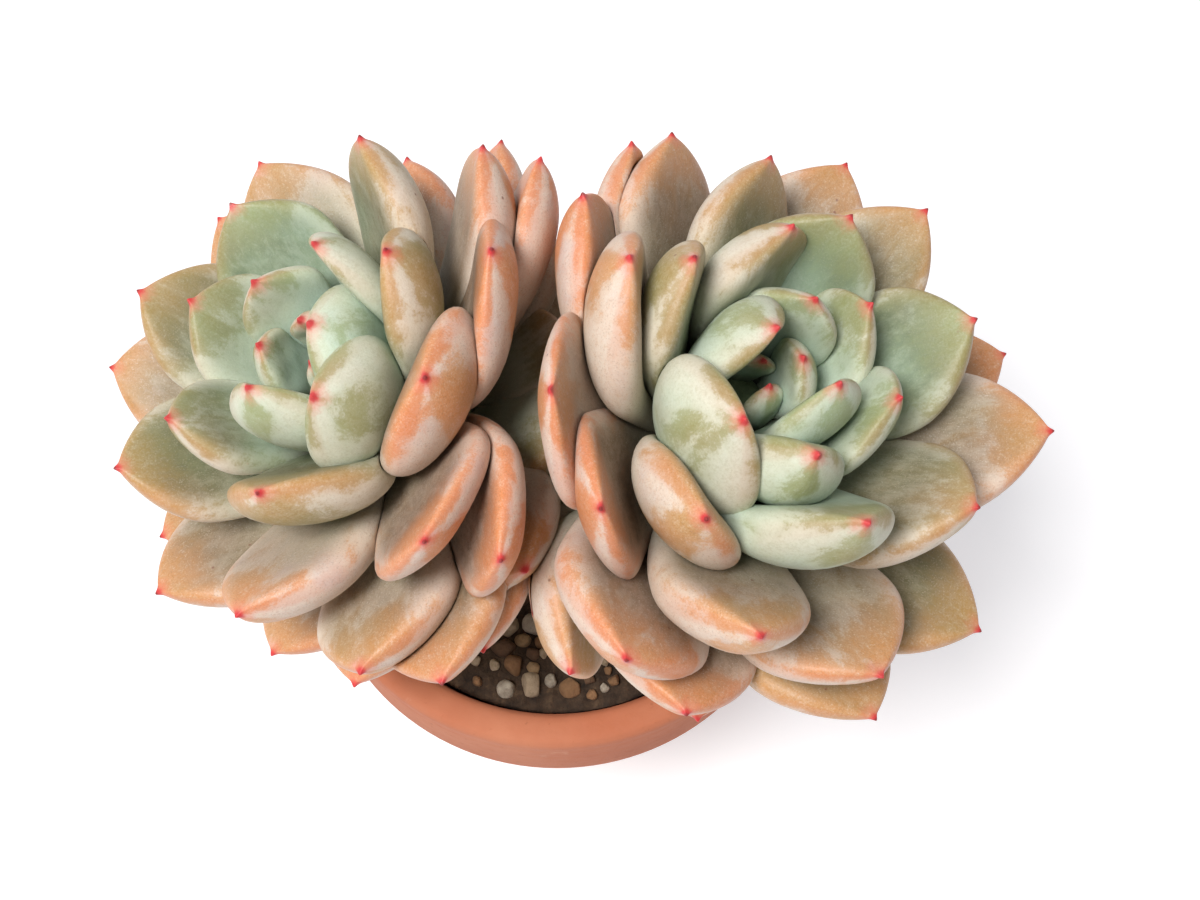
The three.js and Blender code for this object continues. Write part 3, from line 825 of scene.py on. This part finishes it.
def rounded(corners):
    """A profile whose corners, given as radius, height and rounding, are eased."""
    path = []
    for k, (radius, height, ease) in enumerate(corners):
        here = np.array([radius, height])
        if ease == 0:
            path.append(here)
            continue
        before = unit(np.array(corners[k - 1][:2]) - here) * ease
        after = unit(np.array(corners[k + 1][:2]) - here) * ease
        for t in np.linspace(0, 1, CORNER_STEPS):
            path.append((1 - t) ** 2 * (here + before) + 2 * t * (1 - t) * here + t**2 * (here + after))
    return path


def lathe(path, sides):
    """Points and faces of a closed turned body whose path starts and ends on the axis."""
    rings = path[1:-1]
    points = [(0.0, 0.0, path[0][1])]
    for radius, height in rings:
        for k in range(sides):
            angle = 2 * math.pi * k / sides
            points.append((radius * math.cos(angle), radius * math.sin(angle), height))
    points.append((0.0, 0.0, path[-1][1]))
    faces = []
    for k in range(sides):
        n = (k + 1) % sides
        faces.append((0, 1 + n, 1 + k))
        for ring in range(len(rings) - 1):
            low = 1 + ring * sides
            faces.append((low + k, low + n, low + sides + n, low + sides + k))
        top = 1 + (len(rings) - 1) * sides
        faces.append((top + k, top + n, len(points) - 1))
    return points, faces


def apply_modifiers(piece):
    bpy.context.view_layer.update()
    graph = bpy.context.evaluated_depsgraph_get()
    mesh = bpy.data.meshes.new_from_object(piece.evaluated_get(graph))
    old = piece.data
    piece.modifiers.clear()
    piece.data = mesh
    bpy.data.meshes.remove(old)


def bore_radius(height):
    share = (height - POT_FLOOR) / (POT_HEIGHT - POT_FLOOR)
    foot = POT_FOOT_RADIUS - POT_WALL
    return foot + (POT_MOUTH_RADIUS - foot) * share


def pot_piece(material):
    band = POT_HEIGHT - POT_RIM_HEIGHT
    path = rounded([
        (0, 0, 0), (POT_FOOT_RADIUS, 0, 1.0), (POT_SHOULDER_RADIUS, band, 0.6), (POT_RIM_RADIUS, band, 1.2),
        (POT_RIM_RADIUS, POT_HEIGHT, 1.6), (POT_MOUTH_RADIUS, POT_HEIGHT, 1.4),
        (bore_radius(POT_FLOOR), POT_FLOOR, 1.5), (0, POT_FLOOR, 0),
    ])
    points, faces = lathe(path, POT_SIDES)
    pot = mesh_object("clay_pot", points, faces, material)
    for k in range(DRAIN_COUNT):
        angle = 2 * math.pi * k / DRAIN_COUNT + math.pi / 2
        bpy.ops.mesh.primitive_cylinder_add(
            vertices=DRAIN_SIDES, radius=DRAIN_RADIUS * MM, depth=3 * POT_FLOOR * MM,
            location=(DRAIN_PLACE * math.cos(angle) * MM, DRAIN_PLACE * math.sin(angle) * MM, 0))
        drill = bpy.context.object
        cut = pot.modifiers.new("drain", "BOOLEAN")
        cut.operation = "DIFFERENCE"
        cut.object = drill
        apply_modifiers(pot)
        bpy.data.objects.remove(drill)
    return pot


def ripple(x, y):
    """A smooth bumpy height from a few waves."""
    local = np.random.default_rng(RIPPLE_SEED)
    total = np.zeros_like(x)
    for _ in range(14):
        angle = local.uniform(0, 2 * np.pi)
        pace = local.uniform(0.25, 1.6)
        total += np.sin(pace * (x * np.cos(angle) + y * np.sin(angle)) + local.uniform(0, 6.28)) / (1 + pace)
    return total / 3


def soil_height(x, y):
    distance = np.hypot(x, y)
    crown = SOIL_CROWN * np.clip(1 - distance / 29, 0, 1) ** 0.7
    return SOIL_LEVEL - 0.5 + crown + SOIL_RIPPLE * ripple(x, y)


def soil_piece(material):
    edge = bore_radius(SOIL_LEVEL) - SOIL_GAP - 0.1
    foot = POT_FLOOR + SOIL_GAP
    path = [(0, foot), (bore_radius(foot) - SOIL_GAP, foot)]
    path += [(bore_radius(z) - SOIL_GAP, z) for z in np.linspace(20, SOIL_LEVEL - 1.2, 4)]
    path += [(r, SOIL_LEVEL) for r in np.linspace(edge, 0, SOIL_RINGS)]
    points, faces = lathe(path, SOIL_SIDES)
    points = np.array(points)
    top = points[:, 2] > SOIL_LEVEL - 0.6
    points[top, 2] = soil_height(points[top, 0], points[top, 1])
    return mesh_object("potting_soil", points, faces, material)


def stone_shapes():
    """A few rough pebbles, each as points on a ball pushed in and out."""
    bpy.ops.mesh.primitive_ico_sphere_add(subdivisions=3, radius=1)
    ball = bpy.context.object
    points = np.array([v.co[:] for v in ball.data.vertices])
    faces = [tuple(p.vertices) for p in ball.data.polygons]
    bpy.data.objects.remove(ball)
    shapes = []
    for _ in range(STONE_SHAPES):
        shape = points.copy()
        for _ in range(STONE_FACETS):
            direction = unit(rng.normal(size=3))
            level = rng.uniform(0.55, 0.9)
            above = np.clip(shape @ direction - level, 0, None)
            shape -= direction * (above * 0.9)[:, None]
        shapes.append(shape)
    return shapes, faces


def stones_piece(material):
    shapes, ball_faces = stone_shapes()
    points, faces, kinds, placed = [], [], [], []
    tries = 0
    while len(placed) < STONE_COUNT and tries < STONE_TRIES:
        tries += 1
        radius = STONE_SPREAD * math.sqrt(rng.uniform(0, 1))
        angle = rng.uniform(0, 2 * math.pi)
        x, y = radius * math.cos(angle), radius * math.sin(angle)
        size = rng.uniform(STONE_SMALLEST, STONE_LARGEST)
        if radius < STEM_CLEARANCE + size or radius > STONE_FARTHEST - size:
            continue
        if any((x - a) ** 2 + (y - b) ** 2 < (0.80 * (size + c)) ** 2 for a, b, c in placed):
            continue
        placed.append((x, y, size))
        height = float(soil_height(np.array([x]), np.array([y]))[0])
        shape = shapes[rng.integers(len(shapes))] * size * rng.uniform(0.75, 1.1, 3)
        turn, _ = np.linalg.qr(rng.normal(size=(3, 3)))
        if np.linalg.det(turn) < 0:
            turn[:, 0] *= -1
        first = len(points)
        points += (shape @ turn.T + [x, y, height + 0.25 * size]).tolist()
        faces += [tuple(first + i for i in face) for face in ball_faces]
        kinds += [rng.choice(STONE_KINDS)] * len(shape)
    piece = mesh_object("top_grit", points, faces, material)
    kinds = np.array(kinds)
    add_vectors(piece.data, "stone_kind", np.stack([kinds, kinds, kinds], axis=1))
    return piece


def bezier(points, t):
    a, b, c, d = [np.array(p, float) for p in points]
    t = t[:, None]
    return (1 - t) ** 3 * a + 3 * (1 - t) ** 2 * t * b + 3 * (1 - t) * t**2 * c + t**3 * d


def tube(centres, radii):
    """A closed tube through the centres, with its own radius at each."""
    along = np.gradient(centres, axis=0)
    along /= np.linalg.norm(along, axis=1)[:, None]
    side = np.cross([0.0, 1.0, 0.0], along)
    side /= np.linalg.norm(side, axis=1)[:, None]
    other = np.cross(along, side)
    points = [centres[0].tolist()]
    for k, centre in enumerate(centres):
        for step in range(TUBE_SIDES):
            angle = 2 * math.pi * step / TUBE_SIDES
            outward = side[k] * math.cos(angle) + other[k] * math.sin(angle)
            points.append((centre + radii[k] * outward).tolist())
    points.append(centres[-1].tolist())
    faces = []
    for step in range(TUBE_SIDES):
        beside = (step + 1) % TUBE_SIDES
        faces.append((0, 1 + beside, 1 + step))
        for ring in range(len(centres) - 1):
            low = 1 + ring * TUBE_SIDES
            high = low + TUBE_SIDES
            faces.append((low + step, low + beside, high + beside, high + step))
        top = 1 + (len(centres) - 1) * TUBE_SIDES
        faces.append((top + step, top + beside, len(points) - 1))
    return points, faces


def stem_piece(material):
    """The forked stem: three tubes grown together, with the scars of old leaves round them."""
    height = np.linspace(TRUNK_FOOT, FORK_HEIGHT + 1, 30)
    trunk = np.stack([0 * height, 0 * height, height], axis=1)
    parts = [tube(trunk, TRUNK_RADIUS + 0.25 * np.sin(height * 2.1))]
    for head in HEADS.values():
        axis, _, _ = head_axes(head)
        end = np.array(head["top"]) - axis * (FIRST_LEAF_DEPTH + head["span"] + CORE_TAIL - 1)
        start = np.array([0, 0, FORK_HEIGHT - 5.0])
        reach = np.linalg.norm(end - start) / 2.6
        t = np.linspace(0, 1, 40)
        middle = bezier([start, (math.copysign(2, end[0]), 0, FORK_HEIGHT), end - axis * reach, end], t)
        radii = BRANCH_START_RADIUS + (BRANCH_RADIUS - BRANCH_START_RADIUS) * t + 0.22 * np.sin(t * 46)
        parts.append(tube(middle, radii))
    points, faces = [], []
    for part_points, part_faces in parts:
        first = len(points)
        points += part_points
        faces += [tuple(first + i for i in face) for face in part_faces]
    stem = mesh_object("stem_bark", points, faces, material)
    remesh = stem.modifiers.new("join", "REMESH")
    remesh.mode = "VOXEL"
    remesh.voxel_size = BARK_VOXEL * MM
    ease = stem.modifiers.new("ease", "SMOOTH")
    ease.factor = 0.5
    ease.iterations = 4
    apply_modifiers(stem)
    stem.data.polygons.foreach_set("use_smooth", [True] * len(stem.data.polygons))
    return stem


def core_piece(name, head, material):
    """The short stem tip inside a head, which the leaves grow from."""
    axis, _, _ = head_axes(head)
    foot = FIRST_LEAF_DEPTH + head["span"] + CORE_TAIL
    depth = np.linspace(FIRST_LEAF_DEPTH - 1, foot, 24)
    share = np.clip((depth - FIRST_LEAF_DEPTH) / head["span"], 0, 1.15)
    radii = FIRST_ROOT_RADIUS + ROOT_RADIUS_GAIN * share**0.7 + 0.6
    radii = np.minimum(radii, 5.6 + (foot - depth) * 0.8)
    centres = np.array(head["top"]) - axis * depth[:, None]
    points, faces = tube(centres[::-1], radii[::-1])
    return mesh_object(name, points, faces, material)


# Camera, lights and floor


def add_camera():
    data = bpy.data.cameras.new("camera")
    data.sensor_width = CAMERA_SENSOR_WIDTH
    data.lens = CAMERA_LENS
    data.clip_start = CAMERA_CLIP_START * MM
    camera = bpy.data.objects.new("camera", data)
    elevation = math.radians(CAMERA_ELEVATION)
    target = np.array(CAMERA_TARGET)
    place = target + CAMERA_DISTANCE * np.array([0, -math.cos(elevation), math.sin(elevation)])
    camera.location = place * MM
    camera.rotation_euler = (math.radians(90 - CAMERA_ELEVATION), 0, 0)
    bpy.context.scene.collection.objects.link(camera)
    bpy.context.scene.camera = camera


def add_area(name, place, size, power, colour):
    data = bpy.data.lights.new(name, "AREA")
    data.shape = "DISK"
    data.size = size
    data.energy = power
    data.color = colour
    light = bpy.data.objects.new(name, data)
    light.location = place
    bpy.context.scene.collection.objects.link(light)
    aim = Vector(LIGHT_TARGET) - Vector(place)
    light.rotation_euler = aim.to_track_quat("-Z", "Y").to_euler()


def add_stage():
    mesh = bpy.data.meshes.new("floor")
    corners = [(-1, -1), (1, -1), (1, 1), (-1, 1)]
    mesh.from_pydata([(x * FLOOR_HALF_SIZE, y * FLOOR_HALF_SIZE, 0) for x, y in corners], [], [(0, 1, 2, 3)])
    floor = bpy.data.objects.new("floor", mesh)
    floor.location = (0, 0, -FLOOR_DROP)
    mesh.materials.append(floor_material())
    bpy.context.scene.collection.objects.link(floor)
    world = bpy.data.worlds.new("studio")
    world.use_nodes = True
    sky = world.node_tree.nodes["Background"]
    sky.inputs["Color"].default_value = SKY_COLOUR
    sky.inputs["Strength"].default_value = SKY_STRENGTH
    bpy.context.scene.world = world
    add_area("key", KEY_PLACE, KEY_SIZE, KEY_POWER, KEY_COLOUR)
    add_area("fill", FILL_PLACE, FILL_SIZE, FILL_POWER, FILL_COLOUR)


bpy.context.scene.view_settings.view_transform = "Standard"
add_camera()
add_stage()

leaf_skin = leaf_material()
bark = bark_material()
shoot = shoot_material()
leaves = {side: head_leaves(head) for side, head in HEADS.items()}
everything = leaves["left"] + leaves["right"]
grids = press_all(everything)
first = 0
for side, own in leaves.items():
    mine = grids[first:first + len(own)]
    first += len(own)
    node = "head_" + side
    heart = leaf_piece("rosette_" + side + "_heart", own[:HEART_LEAVES], mine[:HEART_LEAVES], leaf_skin)
    outer = leaf_piece("rosette_" + side + "_outer", own[HEART_LEAVES:], mine[HEART_LEAVES:], leaf_skin)
    core = core_piece("rosette_" + side + "_core", HEADS[side], shoot)
    for piece in (heart, outer, core):
        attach(piece, "root")
        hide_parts(node)

pot = pot_piece(clay_material())
soil = soil_piece(soil_material())
stones = stones_piece(stone_material())
stem = stem_piece(bark)
dressed = [(pot, "pot", "clay"), (soil, "soil", "soil"), (stones, "soil", "soil"), (stem, "stem", "bark")]
for piece, node, slot in dressed:
    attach(piece, "root")
    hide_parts(node)

bpy.context.view_layer.update()
